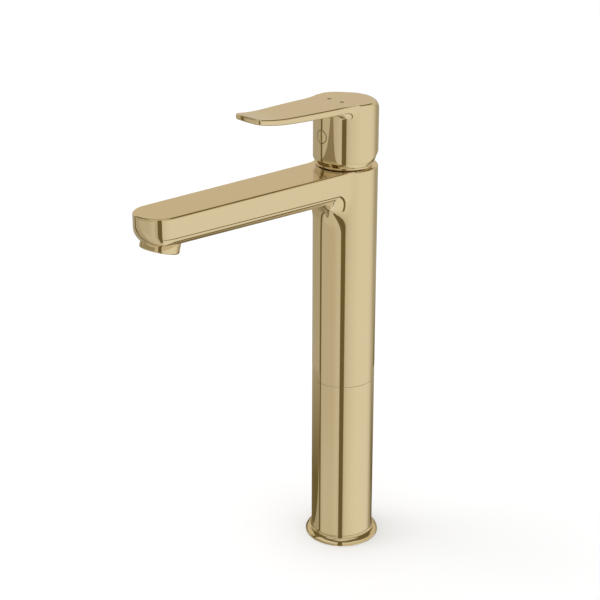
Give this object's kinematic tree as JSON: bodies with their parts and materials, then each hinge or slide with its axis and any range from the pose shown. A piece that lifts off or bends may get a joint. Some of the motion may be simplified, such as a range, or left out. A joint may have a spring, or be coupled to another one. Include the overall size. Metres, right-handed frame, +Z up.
{
  "type": "basin mixer faucet",
  "caption": "Tall single-lever basin mixer with a round column, a flat-topped straight spout and a flat lever; the lever lifts for flow and turns for temperature.",
  "frame": {"origin": "centre of the column's foot, on the deck plane", "axes": "+Z up the column, -Y along the spout, +X across the spout"},
  "size_m": [0.055, 0.2059, 0.3425],
  "materials": {
    "gold": "polished champagne-gold coating on brass",
    "brass": "machined",
    "steel": "turned",
    "rubber": "moulded",
    "grey_plastic": "moulded",
    "black_plastic": "moulded",
    "red_plastic": "moulded",
    "ceramic": "lapped ceramic, held as gloss plastic",
    "dark_gold": "darker inlay of the markers"
  },
  "bodies": {
    "body": {"body_casting": "gold", "extension_column": "gold", "base_flange": "gold", "mounting_base": "brass", "joint_nipple": "brass", "joint_o_ring": "rubber", "base_gasket": "rubber", "aerator_housing": "gold", "aerator_gasket": "rubber", "aerator_insert": "grey_plastic", "aerator_screen": "black_plastic", "cartridge_base": "grey_plastic", "hot_port_seal": "rubber", "cold_port_seal": "rubber", "fixed_disc": "ceramic", "cartridge_housing": "grey_plastic", "housing_o_ring": "rubber", "limit_ring": "red_plastic", "retaining_nut": "brass", "trim_collar": "gold"},
    "turret": {"turret": "black_plastic"},
    "lever": {"handle": "gold", "lever_stem": "brass", "stem_pin": "steel", "handle_set_screw": "steel", "indicator_plug": "gold", "hot_marker": "dark_gold", "cold_marker": "dark_gold"},
    "disc": {"moving_disc": "ceramic", "disc_carrier": "grey_plastic"}
  },
  "joints": [
    {"name": "temperature_turn", "type": "hinge", "parent": "body", "child": "turret", "pos_m": [0, 0, 0.2885], "axis": [0, 0, 1], "range_deg": [-45, 45]},
    {"name": "flow_lift", "type": "hinge", "parent": "turret", "child": "lever", "pos_m": [0, 0, 0.2885], "axis": [-1, 0, 0], "range_deg": [0, 18]},
    {"name": "disc_slide", "type": "slide", "parent": "turret", "child": "disc", "axis": [0, -1, 0], "range_m": [0, 0.005]}
  ],
  "couplings": [
    {"joint": "disc_slide", "follows": "flow_lift", "m_per_rad": 0.01475}
  ]
}
